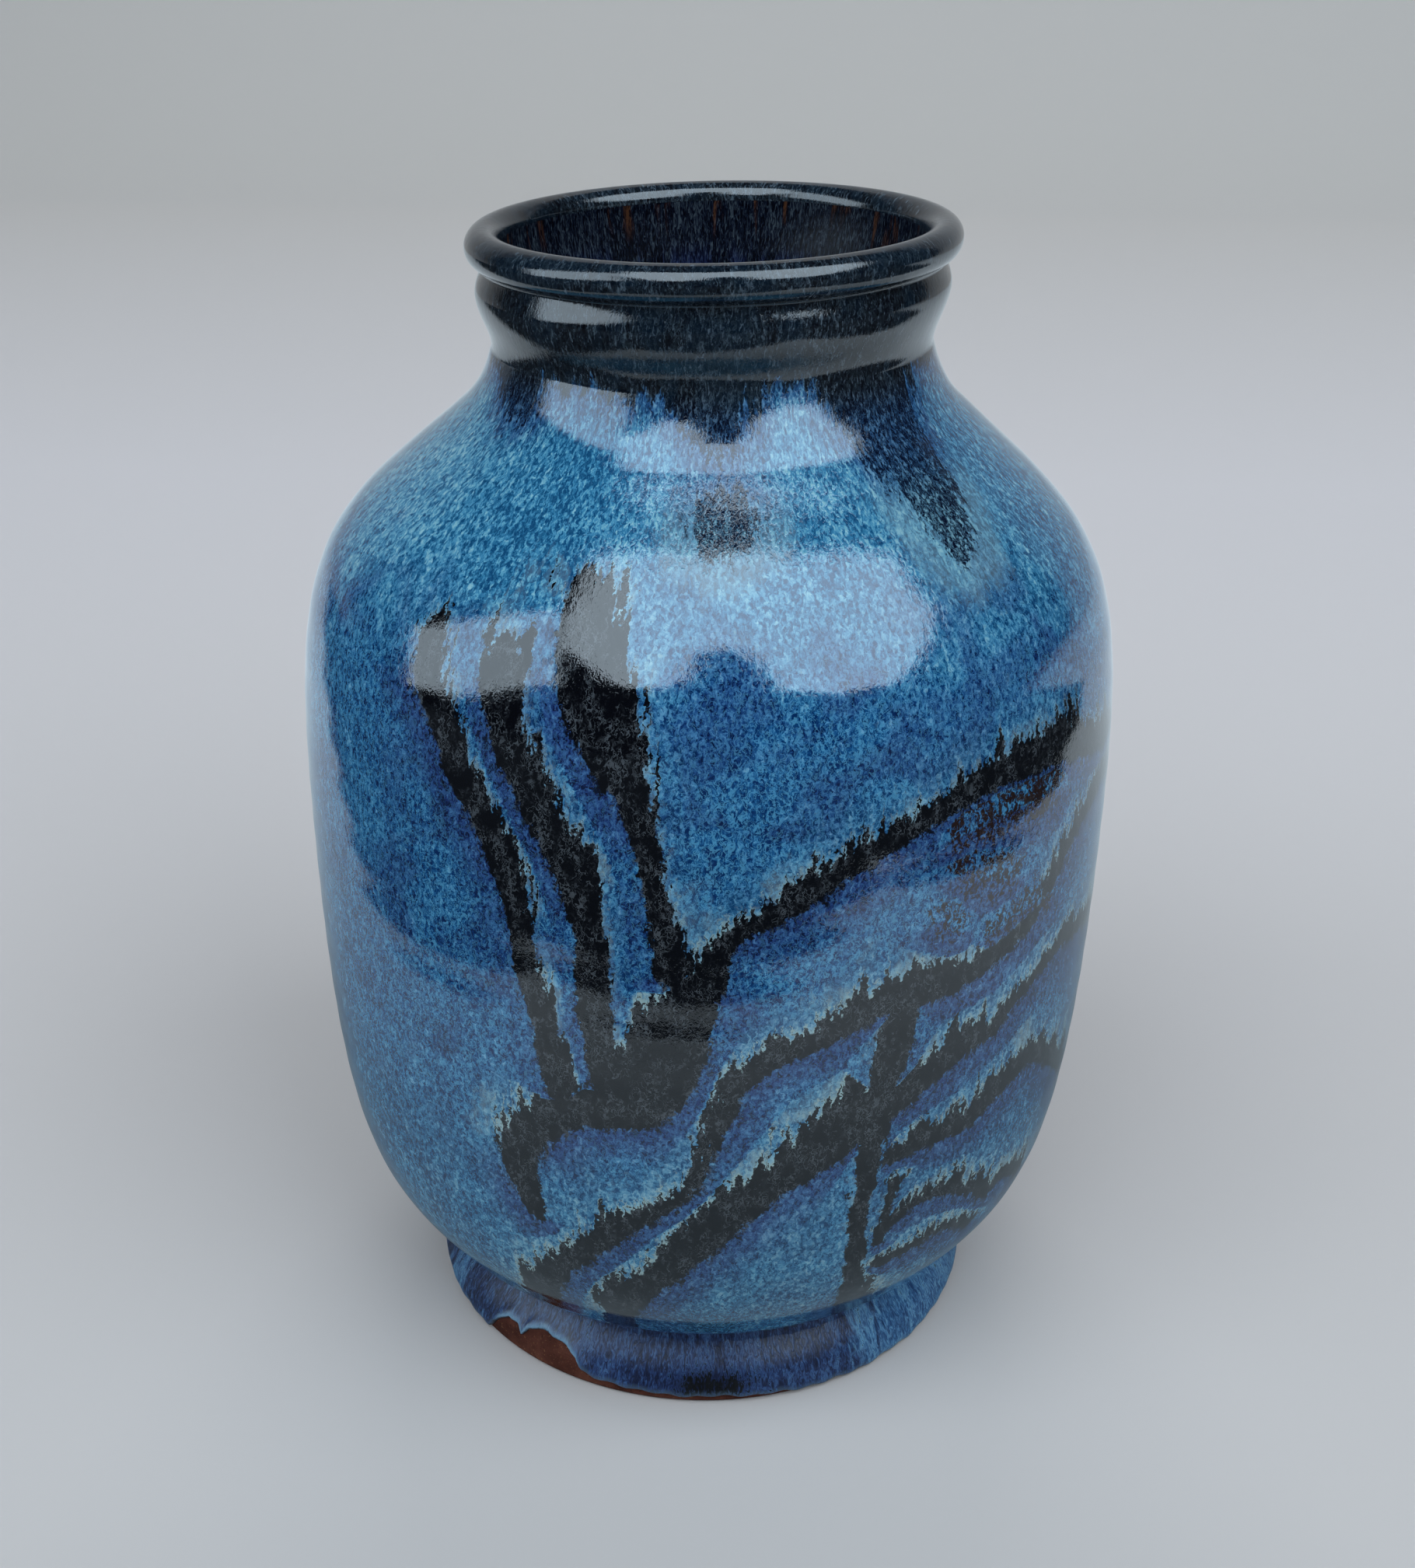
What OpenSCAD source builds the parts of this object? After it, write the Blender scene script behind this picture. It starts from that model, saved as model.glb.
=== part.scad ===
// Wheel-thrown stoneware vase: a turned foot ring round a thick floor, a belly and a shoulder thrown
// apart and luted together, a ridged collar with a rolled lip, and the glaze coats that cover them.
// Every outline is half of the section through the axis, given as [radius, height] points.

/* [Belly] */
// Largest radius over the glaze
belly_r = 97; // [90:1:104]
// Height of the largest radius, where the two thrown halves are luted together
belly_z = 145; // [135:1:155]
// Radius where the belly turns under towards the foot
turn_r = 78; // [76:0.5:80]
// Height of that turn
turn_z = 30.5; // [29:0.5:33]

/* [Neck and lip] */
// Radius where the shoulder meets the collar
root_r = 57.5; // [56:0.5:60]
// Height where the shoulder meets the collar
root_z = 234.5; // [231:0.5:237]
// Radius of the collar's narrowest ring
neck_r = 49.3; // [48:0.1:50.5]
// Height of the narrowest ring
neck_z = 249; // [247:0.5:251]
// Radius of the collar's ridge under the lip
ridge_r = 52.5; // [51:0.1:54]
// Height of that ridge
ridge_z = 260.5; // [258:0.5:262]
// Radius of the circle that the rolled lip's centre follows
lip_r = 50.5; // [49:0.1:52]
// Thickness of the rolled lip
lip_t = 8; // [7:0.1:9]
// Overall height
vase_h = 275; // [272:0.5:279]

/* [Foot] */
// Outer radius of the foot
foot_r = 70.5; // [68:0.5:74]
// Radius of the waist between foot and belly
waist_r = 62.5; // [61:0.5:65]
// Height of the waist
waist_z = 20; // [18:0.5:22]
// Radius of the floor, which the foot ring and the belly's wall are luted round
floor_r = 54; // [50:0.5:57]
// Depth of the hollow turned under the foot
recess_h = 15; // [12:0.5:16]

/* [Clay and glaze] */
// Thickness of the wall at the belly
wall_t = 5.6; // [5:0.1:7]
// Thickness of the wall at the neck
neck_wall_t = 5; // [4.5:0.1:5.5]
// Length of the straight throat inside the collar
throat_h = 8; // [4:0.5:9]
// Thickness of the floor
floor_t = 11; // [9:0.5:13]
// Thickness of each glaze coat
glaze_t = 0.6; // [0.4:0.1:0.8]
// Height of the bare clay band above the table
bare_h = 4; // [3:0.5:6]

/* [Hidden] */

$fn = 128;
curve_steps = 14;   // straight pieces in a long curve
short_steps = 6;    // straight pieces in a short curve
lip_steps = 18;     // straight pieces round the lip

lip_z = vase_h - lip_t / 2;
floor_z = recess_h + floor_t;
edge_r = 2;                 // rounding of the foot's two lower edges
foot_taper = 2.5;           // how far the hollow under the foot widens towards the table
turn_slope = 56.5;          // slope of the outline at the turn, in degrees from level
root_slope = 137.6;         // slope of the outline where shoulder meets collar
groove = [ridge_r - 1.3, lip_z - 4.2];
groove_angle = -65;         // where the lip's roll starts, seen from its centre
throat_lead = 1;            // run-in at each end of the straight throat

// A point at a distance from p along a slope in degrees
function along(p, slope, distance) = p + distance * [cos(slope), sin(slope)];

// The cubic curve from a to d, pulled towards b and c, without its last point
function curve(a, b, c, d, steps) = [
    for (i = [0 : steps - 1])
        let (t = i / steps, s = 1 - t)
        s * s * s * a + 3 * s * s * t * b + 3 * s * t * t * c + t * t * t * d
];

// Points of an arc, its two ends included
function arc(centre, radius, from, to, steps) = [
    for (i = [0 : steps]) along(centre, from + (to - from) * i / steps, radius)
];

function part_of(points, first, last) = [for (i = [first : last]) points[i]];
function backwards(points) = [for (i = [len(points) - 1 : -1 : 0]) points[i]];

// The unit normal that points away from the axis, on an outline that runs upwards
function normal_at(points, i) =
    let (step = points[min(i + 1, len(points) - 1)] - points[max(i - 1, 0)])
    [step[1], -step[0]] / norm(step);

// The outline moved in by a thickness that changes evenly from its first point to its last
function inset(points, first_t, last_t) = [
    for (i = [0 : len(points) - 1])
        points[i] - (first_t + (last_t - first_t) * i / (len(points) - 1)) * normal_at(points, i)
];

// Outer surface, upwards from the edge of the glaze
waist = [waist_r, waist_z];
turn = [turn_r, turn_z];
belly = [belly_r, belly_z];
root = [root_r, root_z];
neck = [neck_r, neck_z];
ridge = [ridge_r, ridge_z];

foot_side = curve([foot_r, bare_h], [foot_r, bare_h + 6], [waist_r + 1, waist_z - 6], waist, short_steps);
under_turn = curve(waist, waist + [5.7, 7.2], along(turn, turn_slope, -10.8), turn, short_steps);
belly_side = curve(turn, along(turn, turn_slope, 18.4), belly - [0, 96.5], belly, curve_steps);
shoulder_side = curve(belly, belly + [0, 63], along(root, root_slope, -41), root, curve_steps);
collar_low = curve(root, along(root, root_slope, 8), neck + [1, -3], neck, short_steps);
collar_high = concat(
    curve(neck, neck + [0, 4], ridge - [0.5, 4], ridge, short_steps),
    curve(ridge, ridge + [0.3, 2], groove + [0.8, -1.5], groove, short_steps),
    [groove]
);
lip_side = arc([lip_r, lip_z], lip_t / 2, groove_angle, 180, lip_steps);

outer = concat(foot_side, under_turn, belly_side, shoulder_side, collar_low, collar_high, lip_side);
at_waist = len(foot_side);
at_belly = at_waist + len(under_turn) + len(belly_side);
at_root = at_belly + len(shoulder_side);
at_groove = at_root + len(collar_low) + len(collar_high) - 1;
at_top = len(outer) - 1;

// Clay under the outer glaze
clay = inset(outer, glaze_t, glaze_t);
waist_joint_z = clay[at_waist][1];

// Clay inside, upwards from the middle of the floor
inner_belly = [belly_r - wall_t, belly_z];
inner_top = clay[at_top];
floor_edge = [floor_r, floor_z];
bowl_side = curve(floor_edge, floor_edge + [22, 0], inner_belly - [0, 93], inner_belly, curve_steps);
dome_side = inset(concat(shoulder_side, [root]), wall_t, neck_wall_t);
inner_root = dome_side[len(dome_side) - 1];
throat_half = throat_h / 2 + throat_lead;
throat_low = [neck_r - neck_wall_t, neck_z - throat_half];
throat_high = [throat_low[0], neck_z + throat_half];
throat_side = concat(
    curve(inner_root, along(inner_root, root_slope, 7), throat_low - [0, 5], throat_low, short_steps),
    [throat_low, throat_low + [0, throat_lead], throat_high - [0, throat_lead]],
    curve(throat_high, throat_high + [0, 5], inner_top - [0, 6], inner_top, short_steps),
    [inner_top]
);
dome_inner = part_of(dome_side, 0, len(dome_side) - 2);
inside = concat([[0, floor_z]], bowl_side, dome_inner, throat_side);
in_floor = 1;
in_belly = in_floor + len(bowl_side);
in_root = in_belly + len(dome_inner);
in_top = len(inside) - 1;
in_lip = in_top - 2;

// A ring whose section lies between two outlines that both run upwards
module ring(outside, within) {
    rotate_extrude() polygon(concat(outside, backwards(within)));
}

// Turned foot ring, with a hollow under it and bare clay where it stands
module clay_foot() {
    side_r = clay[0][0];
    hollow_r = floor_r + foot_taper;
    color("sienna") rotate_extrude() polygon(concat(
        arc([hollow_r + edge_r, edge_r], edge_r, 180, 270, short_steps),
        arc([side_r - edge_r, edge_r], edge_r, -90, 0, short_steps),
        part_of(clay, 0, at_waist),
        [[floor_r, waist_joint_z], [floor_r, recess_h]]
    ));
}

// Floor, a thick disc inside the foot ring and the foot of the belly's wall
module clay_floor() {
    color("sienna") translate([0, 0, recess_h]) cylinder(h = floor_t, r = floor_r);
}

// Wall of the lower half as thrown
module clay_belly() {
    color("sienna") ring(
        concat([[floor_r, waist_joint_z]], part_of(clay, at_waist, at_belly)),
        part_of(inside, in_floor, in_belly)
    );
}

// Upper half, luted on at the widest ring
module clay_shoulder() {
    color("sienna") ring(part_of(clay, at_belly, at_root), part_of(inside, in_belly, in_root));
}

// Collar with its narrow ring and its ridge
module clay_collar() {
    color("sienna") ring(part_of(clay, at_root, at_groove), part_of(inside, in_root, in_lip));
}

// Lip rolled outwards over the collar
module clay_lip() {
    color("sienna") ring(part_of(clay, at_groove, at_top - 1), part_of(inside, in_lip, in_top));
}

module glaze_coat(first, last) {
    ring(part_of(outer, first, last), part_of(clay, first, last));
}

// Blue glaze on the foot, which stops above the table
module glaze_foot() {
    color("steelblue") glaze_coat(0, at_waist);
}

// Blue glaze on belly and shoulder
module glaze_body() {
    color("royalblue") glaze_coat(at_waist, at_root);
}

// Black glaze on collar and lip
module glaze_collar() {
    color("midnightblue") glaze_coat(at_root, at_top);
}

// Glaze poured inside
module glaze_liner() {
    color("darkslateblue") ring(inside, inset(inside, glaze_t, glaze_t));
}

clay_foot();
clay_floor();
clay_belly();
clay_shoulder();
clay_collar();
clay_lip();
glaze_foot();
glaze_body();
glaze_collar();
glaze_liner();
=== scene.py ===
"""A wheel-thrown stoneware vase with a mottled blue glaze and black brushwork.

Outlines are half sections, as rows of (radius, height) in millimetres, and run upwards.
Angles go round the vase in degrees: 0 is the front (-Y), and 90 is its right-hand side (+X).
"""
import math

import bpy
import numpy as np
from mathutils import Matrix, Vector


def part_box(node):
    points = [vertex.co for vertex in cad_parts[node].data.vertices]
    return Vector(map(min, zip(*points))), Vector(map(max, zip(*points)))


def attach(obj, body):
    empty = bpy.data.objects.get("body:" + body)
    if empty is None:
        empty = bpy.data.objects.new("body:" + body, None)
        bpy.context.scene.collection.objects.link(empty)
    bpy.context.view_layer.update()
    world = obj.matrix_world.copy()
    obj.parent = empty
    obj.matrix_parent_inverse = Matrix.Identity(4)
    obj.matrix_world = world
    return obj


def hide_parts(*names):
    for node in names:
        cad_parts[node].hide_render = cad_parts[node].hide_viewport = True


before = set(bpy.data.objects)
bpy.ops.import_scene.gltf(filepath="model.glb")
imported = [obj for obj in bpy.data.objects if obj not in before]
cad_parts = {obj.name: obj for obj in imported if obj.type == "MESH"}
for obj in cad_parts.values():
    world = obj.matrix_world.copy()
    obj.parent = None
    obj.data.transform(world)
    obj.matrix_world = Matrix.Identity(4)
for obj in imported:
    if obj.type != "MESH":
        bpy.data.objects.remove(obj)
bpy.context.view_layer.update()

MM = 0.001

# ---------------------------------------------------------------- sizes in mm, some read from the parts in model.glb


def top_mm(node):
    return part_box(node)[1].z / MM


def bottom_mm(node):
    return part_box(node)[0].z / MM


def radius_mm(node):
    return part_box(node)[1].x / MM


VASE_H = top_mm("glaze_collar")
BELLY = np.array([radius_mm("glaze_body"), top_mm("clay_belly")])
FOOT_R = radius_mm("glaze_foot")
BARE_H = bottom_mm("glaze_foot")
WAIST = np.array([62.5, bottom_mm("glaze_body")])
FLOOR_R = radius_mm("clay_floor")
FLOOR_Z = top_mm("clay_floor")
RECESS_Z = bottom_mm("clay_floor")
ROOT = np.array([57.5, top_mm("glaze_body")])
TURN = np.array([78.0, 30.5])
NECK = np.array([49.3, 249.0])
RIDGE = np.array([52.5, 260.5])
LIP_T = 8.0
LIP = np.array([50.5, VASE_H - LIP_T / 2])
GROOVE = np.array([RIDGE[0] - 1.3, LIP[1] - 4.2])
GLAZE_T = 0.6
WALL_T = 5.6
NECK_WALL_T = 5.0

# ---------------------------------------------------------------- outlines


def along(point, slope, distance):
    """A point at a distance along a slope in degrees."""
    a = math.radians(slope)
    return point + distance * np.array([math.cos(a), math.sin(a)])


def curve(a, b, c, d, step=0.8):
    """The cubic curve from a to d, pulled towards b and c, in even steps and without its end."""
    a, b, c, d = (np.asarray(p, float) for p in (a, b, c, d))
    t = np.linspace(0, 1, 200)[:, None]
    fine = (1 - t) ** 3 * a + 3 * (1 - t) ** 2 * t * b + 3 * (1 - t) * t * t * c + t ** 3 * d
    length = np.concatenate([[0], np.cumsum(np.linalg.norm(np.diff(fine, axis=0), axis=1))])
    n = max(3, round(length[-1] / step))
    at = np.linspace(0, length[-1], n + 1)[:-1]
    return np.stack([np.interp(at, length, fine[:, i]) for i in (0, 1)], 1)


def arc(centre, radius, start, end, steps):
    """Points on a circle between two angles in degrees, both ends included."""
    a = np.radians(np.linspace(start, end, steps + 1))
    return centre + radius * np.stack([np.cos(a), np.sin(a)], 1)


def line(a, b, step=1.5):
    """Even steps from a towards b, without its end."""
    n = max(1, round(math.dist(a, b) / step))
    return np.linspace(a, b, n + 1)[:-1]


def normals_of(outline):
    """Unit normals that point away from the axis."""
    step = np.gradient(outline, axis=0)
    return np.stack([step[:, 1], -step[:, 0]], 1) / np.linalg.norm(step, axis=1)[:, None]


def inset(outline, thickness):
    """The outline moved in by a thickness, which is one number or one for each row."""
    return outline - np.asarray(thickness, float).reshape(-1, 1) * normals_of(outline)


foot_side = curve([FOOT_R, BARE_H], [FOOT_R, BARE_H + 6], WAIST + [1, -6], WAIST, 0.5)
under_turn = curve(WAIST, WAIST + [5.7, 7.2], along(TURN, 56.5, -10.8), TURN)
belly_side = curve(TURN, along(TURN, 56.5, 18.4), BELLY - [0, 96.5], BELLY)
shoulder_side = curve(BELLY, BELLY + [0, 63], along(ROOT, 137.6, -41), ROOT)
collar_side = np.concatenate([
    curve(ROOT, along(ROOT, 137.6, 8), NECK + [1, -3], NECK, 0.6),
    curve(NECK, NECK + [0, 4], RIDGE - [0.5, 4], RIDGE, 0.6),
    curve(RIDGE, RIDGE + [0.3, 2.4], GROOVE + [0.3, -2.4], GROOVE, 0.5),
    GROOVE[None],
])
lip_side = arc(LIP, LIP_T / 2, -65, 180, 32)
outer = np.concatenate([foot_side, under_turn, belly_side, shoulder_side, collar_side, lip_side])
AT_WAIST = len(foot_side)
AT_ROOT = AT_WAIST + len(under_turn) + len(belly_side) + len(shoulder_side)
AT_BELLY = AT_WAIST + len(under_turn) + len(belly_side)
AT_GROOVE = AT_ROOT + len(collar_side) - 1
AT_TOP = len(outer) - 1

clay = inset(outer, GLAZE_T)
inner_belly = BELLY - [WALL_T, 0]
bowl_side = curve([FLOOR_R, FLOOR_Z], [FLOOR_R + 22, FLOOR_Z], inner_belly - [0, 93], inner_belly, 2)
dome_outer = np.concatenate([shoulder_side[::2], ROOT[None]])
dome_side = inset(dome_outer, np.linspace(WALL_T, NECK_WALL_T, len(dome_outer)))
inner_root = dome_side[-1]
throat_low = NECK - [NECK_WALL_T, 5]
throat_high = NECK - [NECK_WALL_T, -5]
throat_side = np.concatenate([
    curve(inner_root, along(inner_root, 137.6, 7), throat_low - [0, 5], throat_low, 1),
    line(throat_low, throat_high, 1),
    curve(throat_high, throat_high + [0, 5], clay[AT_TOP] - [0, 6], clay[AT_TOP], 1),
    clay[AT_TOP][None],
])
floor_side = line([0.0, FLOOR_Z], [FLOOR_R, FLOOR_Z], 2)
inside = np.concatenate([floor_side, bowl_side, dome_side[:-1], throat_side])
IN_FLOOR = len(floor_side)
IN_BELLY = IN_FLOOR + len(bowl_side)
IN_ROOT = IN_BELLY + len(dome_side) - 1
IN_TOP = len(inside) - 1
IN_LIP = IN_TOP - 4

# ---------------------------------------------------------------- the thrown form

RING_PITCH = 11.0     # height between the potter's finger rings
RING_DEPTH = 0.035    # how far the rings stand out
OVAL = 0.25           # how far the body is out of round
NECK_SHIFT = -0.3     # how far the collar stands to the right of the body's axis
LIP_TILT = 0.030      # how much higher the lip is on the right, per unit of width


def ease(x, low, high):
    t = np.clip((x - low) / (high - low), 0, 1)
    return t * t * (3 - 2 * t)


def thrown(radius, height, angle):
    """Where a point of the section lies once the clay has been thrown by hand. Metres."""
    ring = RING_DEPTH * np.sin(2 * np.pi * height / RING_PITCH + angle) * ease(height, 25, 45)
    oval = OVAL * np.sin(2 * angle + 0.5 + height / 90) * ease(height, 20, 80)
    share = ease(radius, 0, 40)
    r = radius + (ring + oval) * share
    x = r * np.sin(angle) + NECK_SHIFT * ease(height, 190, 250)
    y = -r * np.cos(angle)
    z = height + LIP_TILT * x * ease(height, 200, 262)
    return np.stack([x, y, z], -1) * MM


def angles(columns):
    return np.arange(columns) * 2 * np.pi / columns


def surface(outline, columns):
    """The outline turned round the axis: points by row and column, in metres."""
    a = angles(columns)[None, :]
    return thrown(outline[:, :1] + 0 * a, outline[:, 1:] + 0 * a, a + 0 * outline[:, :1])


def grid_normals(points, sign=1):
    """Smooth normals of a turned surface."""
    up = np.gradient(points, axis=0)
    round_ = np.roll(points, -1, axis=1) - np.roll(points, 1, axis=1)
    n = np.cross(round_, up) * sign
    return n / np.maximum(np.linalg.norm(n, axis=-1, keepdims=True), 1e-12)


def turned(name, front, back, node, normals=None, fields=None):
    """A closed ring between a front surface and a back surface, both given by row and column.
    A row of points on the axis becomes one point. fields are numbers painted on the front."""
    rows = np.concatenate([front, back[::-1]])
    smooth = np.concatenate([
        grid_normals(front) if normals is None else normals,
        grid_normals(back, -1)[::-1],
    ])
    count, columns = rows.shape[:2]
    index = np.arange(count * columns).reshape(count, columns)
    on_axis = np.linalg.norm(rows[..., :2], axis=-1).max(axis=1) < 1e-6
    index[on_axis] = index[on_axis][:, :1]
    above = np.roll(index, -1, axis=0)
    quads = np.stack([index, np.roll(index, -1, axis=1), np.roll(above, -1, axis=1), above], -1)
    faces = [list(dict.fromkeys(quad)) for quad in quads.reshape(-1, 4).tolist()]
    faces = [face for face in faces if len(face) > 2]
    used = np.unique(np.concatenate(faces))
    place = np.zeros(rows[..., 0].size, int)
    place[used] = np.arange(len(used))
    points = rows.reshape(-1, 3)[used]
    mesh = bpy.data.meshes.new(name)
    mesh.from_pydata(points.tolist(), [], [place[face].tolist() for face in faces])
    mesh.update()
    mesh.shade_smooth()
    mesh.normals_split_custom_set_from_vertices(smooth.reshape(-1, 3)[used].tolist())
    for field, values in (fields or {}).items():
        padded = np.concatenate([values, np.repeat(values[-1:], len(back), axis=0)]).reshape(-1)
        attribute = mesh.attributes.new(field, "FLOAT", "POINT")
        attribute.data.foreach_set("value", padded[used].astype(np.float32))
    piece = bpy.data.objects.new(name, mesh)
    bpy.context.scene.collection.objects.link(piece)
    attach(piece, "root")
    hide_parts(node)
    return piece


def dressed(piece, material):
    piece.data.materials.append(material)
    return piece


# ---------------------------------------------------------------- brushwork

# Each stroke is a list of (angle, height, half width) in degrees and mm, from its start to its end.
FINGERS = [
    [(-39.5, 202, 3.4), (-38.5, 196, 4), (-35, 188, 3.2), (-32, 179, 3.2), (-28.5, 170, 2.6),
     (-25, 160, 3), (-23.5, 150, 2.8), (-22.8, 140, 2.6), (-21, 129, 3), (-20, 119, 3),
     (-18.5, 109, 3.4)],
    [(-27.5, 204, 3.4), (-27, 198, 4.6), (-25, 188, 4), (-21.5, 178, 3.6), (-19, 169, 3.2),
     (-16, 160, 3.8), (-14.3, 150, 3.4), (-13.7, 138, 3.8), (-13.3, 126, 3.8), (-12, 114, 4)],
    [(-17, 213, 4.8), (-16, 204, 6.2), (-14, 196, 6.4), (-11.5, 188, 5.2), (-9, 180, 3.8),
     (-7.2, 170, 2.6), (-6.2, 160, 2.6), (-5, 150, 2.8), (-4, 141, 3.6)],
]
PALM = [
    [(-1, 137, 4.4), (-3, 128, 7.1), (-5, 119, 8.6), (-7.5, 110, 7.6), (-13, 105, 4.4), (-18, 102, 3.9),
     (-23, 95, 4.4), (-25, 87, 4.6), (-24.5, 78, 3.4), (-23, 71, 1.4)],
]
SWEEPS = [
    [(0.5, 138, 3.9), (2.5, 148, 2.1), (6, 152.5, 1.9), (10, 156, 2.3), (15, 161.5, 2.3), (20, 166, 2.1),
     (26, 170, 1.9), (32, 173, 2.3), (38, 176, 2.9), (45, 177, 3.9), (52, 176, 3.9), (60, 172, 3.4),
     (72, 168, 2.9), (86, 170, 1.9)],
    [(-30, 28, 3.9), (-26, 40, 4.4), (-22.5, 50, 3.4), (-19.5, 57.5, 2.9), (-14.5, 66, 2.9),
     (-10, 74, 2.7), (-5, 79, 1.4), (-1, 86, 1.2), (1, 96, 1.2), (3, 106, 1.9), (5, 115, 2.3),
     (9, 120, 2.3), (15, 124, 2.3), (21, 129, 3.3), (28, 131, 3.9), (35, 131, 2.9), (42, 134, 2.3),
     (48, 138, 2.3), (54, 147, 1.9), (60, 154, 1.9), (72, 158, 2.4), (84, 150, 1.9)],
    [(-14, 28, 3.9), (-12.5, 40, 3.9), (-9.5, 50, 3.9), (-5.5, 58, 3.9), (-2.5, 65, 4.3), (1.5, 73, 4.6),
     (5, 80, 4.6), (10, 87, 4.3), (15, 94, 5.6), (20, 101, 6.6), (26, 104, 3.9), (31, 108, 2.9),
     (36, 113, 3.3), (41, 113, 2.1), (46, 118, 1.3), (52, 122, 1.5), (59, 124, 1.7),
     (70, 120, 2.4), (82, 110, 2.9)],
    [(26, 128, 3.9), (25, 118, 4.3), (24, 108, 3.9), (23, 96, 3.3), (22.5, 84, 2.7), (22, 72, 2.5),
     (22.3, 60, 2.5), (23, 50, 2.9), (25, 40, 4.3), (28, 31, 5.6)],
]
FEATHERS = [
    [(26, 88, 2.1), (32, 90, 2.1), (38, 90, 2.5), (43, 94, 3.1), (48, 97, 2.9), (52, 98, 2.9),
     (57, 93, 2.3), (62, 87, 2.3), (68, 79, 1.9)],
    [(26, 66, 1.7), (30, 71, 1.2), (36, 71, 1.5), (42, 67, 1.7), (47, 61, 1.7), (52, 63, 2.1),
     (58, 56, 1.9)],
    [(26.5, 54, 1.5), (33, 56, 1.2), (39, 57, 1.2), (45, 52, 1.2)],
    [(27, 80, 1.2), (26.5, 72, 1.2), (26, 62, 1.2)],
]
SMUDGES = [
    [(34, 166, 4.5), (42, 167, 4.5), (50, 167, 4)],
    [(34.5, 157, 3.6), (38, 153, 4.4), (42, 151, 3)],
    [(31, 147, 2.4), (33, 143, 2.4)],
    [(40, 139, 2.6), (46, 141, 2.6), (51, 140, 2.6)],
]
BACK_TURN = 178       # where the same brush was used again, on the side away from the front
BACK_LOWER = 7

# Dark glaze that ran down from the collar
COLLAR_EDGE = 248
RUNS = [
    [(0, 252, 11), (1, 243, 6.5), (1.5, 239, 3.5)],
    [(2.5, 229, 5.5), (2.5, 227, 6.5), (2, 225, 5.5)],
    [(42, 252, 15), (43, 242, 12), (44, 233, 9.5), (44, 226, 7.5), (43.5, 220, 5.5)],
    [(-55, 252, 10), (-52, 246, 8), (-50, 243, 5)],
    [(98, 252, 12), (100, 240, 8), (102, 228, 5)],
    [(158, 252, 12), (156, 238, 9), (157, 222, 6), (158, 212, 3.5)],
    [(-130, 252, 13), (-128, 240, 8), (-126, 230, 5)],
]

travel = np.concatenate([[0], np.cumsum(np.linalg.norm(np.diff(outer, axis=0), axis=1))])


def travel_at(height):
    """Length along the outline from the glaze's lower edge to a height, below the lip."""
    return np.interp(height, outer[:AT_GROOVE, 1], travel[:AT_GROOVE])


def stroke_points(stroke, spacing=0.7):
    """Angle, travel and half width at even steps along a smooth line through a stroke's points."""
    p = np.array(stroke, float)
    p = np.stack([np.radians(p[:, 0]), travel_at(p[:, 1]), p[:, 2]], 1)
    ends = np.concatenate([[2 * p[0] - p[1]], p, [2 * p[-1] - p[-2]]])
    made = []
    for a, b, c, d in zip(ends, ends[1:], ends[2:], ends[3:]):
        n = max(2, round(math.hypot((c[0] - b[0]) * 90, c[1] - b[1]) / spacing))
        t = np.linspace(0, 1, n, endpoint=False)[:, None]
        made.append(0.5 * (2 * b + (c - a) * t + (2 * a - 5 * b + 4 * c - d) * t ** 2
                           + (3 * b - a - 3 * c + d) * t ** 3))
    return np.concatenate(made + [p[-1:]])


def painted(outline_rows, columns, strokes, reach=24.0):
    """For each point of a turned surface: the distance in mm to the nearest stroke's edge (below 0
    inside it), how far the point lies above that stroke (1) or under it (-1), and the stroke's number."""
    radius = outer[outline_rows, 0][:, None]
    height = travel[outline_rows][:, None]
    a = angles(columns)[None, :]
    shape = (len(radius), columns)
    distance = np.full(shape, reach)
    above = np.zeros(shape)
    which = np.zeros(shape, int)
    for number, stroke in enumerate(strokes):
        p = stroke_points(stroke)
        low, high = p[:, 1].min() - reach, p[:, 1].max() + reach
        rows = np.flatnonzero((height[:, 0] > low) & (height[:, 0] < high))
        if not len(rows):
            continue
        middle = (p[:, 0].min() + p[:, 0].max()) / 2
        span = (p[:, 0].max() - p[:, 0].min()) / 2 + reach / radius[rows].min()
        turn = (a[0] - middle + np.pi) % (2 * np.pi) - np.pi
        cols = np.flatnonzero(np.abs(turn) < span)
        best = np.full((len(rows), len(cols)), 1e9)
        rise = np.zeros(best.shape)
        for angle, up, half in p:
            across = (turn[cols][None, :] - (angle - middle)) * radius[rows]
            over = height[rows] - up
            far = np.hypot(across, over)
            nearer = far - half < best
            best = np.where(nearer, far - half, best)
            rise = np.where(nearer, over / np.maximum(far, 1e-6), rise)
        patch = np.ix_(rows, cols)
        nearer = best < distance[patch]
        distance[patch] = np.where(nearer, best, distance[patch])
        above[patch] = np.where(nearer, rise, above[patch])
        which[patch] = np.where(nearer, number, which[patch])
    return distance, above, which


def again(strokes, turn, lower):
    """The same strokes further round the vase and a little lower."""
    return [[(angle + turn, height - lower, half) for angle, height, half in s] for s in strokes]


DARK_STROKES = FINGERS + PALM + SWEEPS + FEATHERS
DARK_STROKES = DARK_STROKES + again(FINGERS + PALM + SWEEPS[:1] + SWEEPS[2:], BACK_TURN, BACK_LOWER)
ALL_STROKES = DARK_STROKES + SMUDGES


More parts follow.
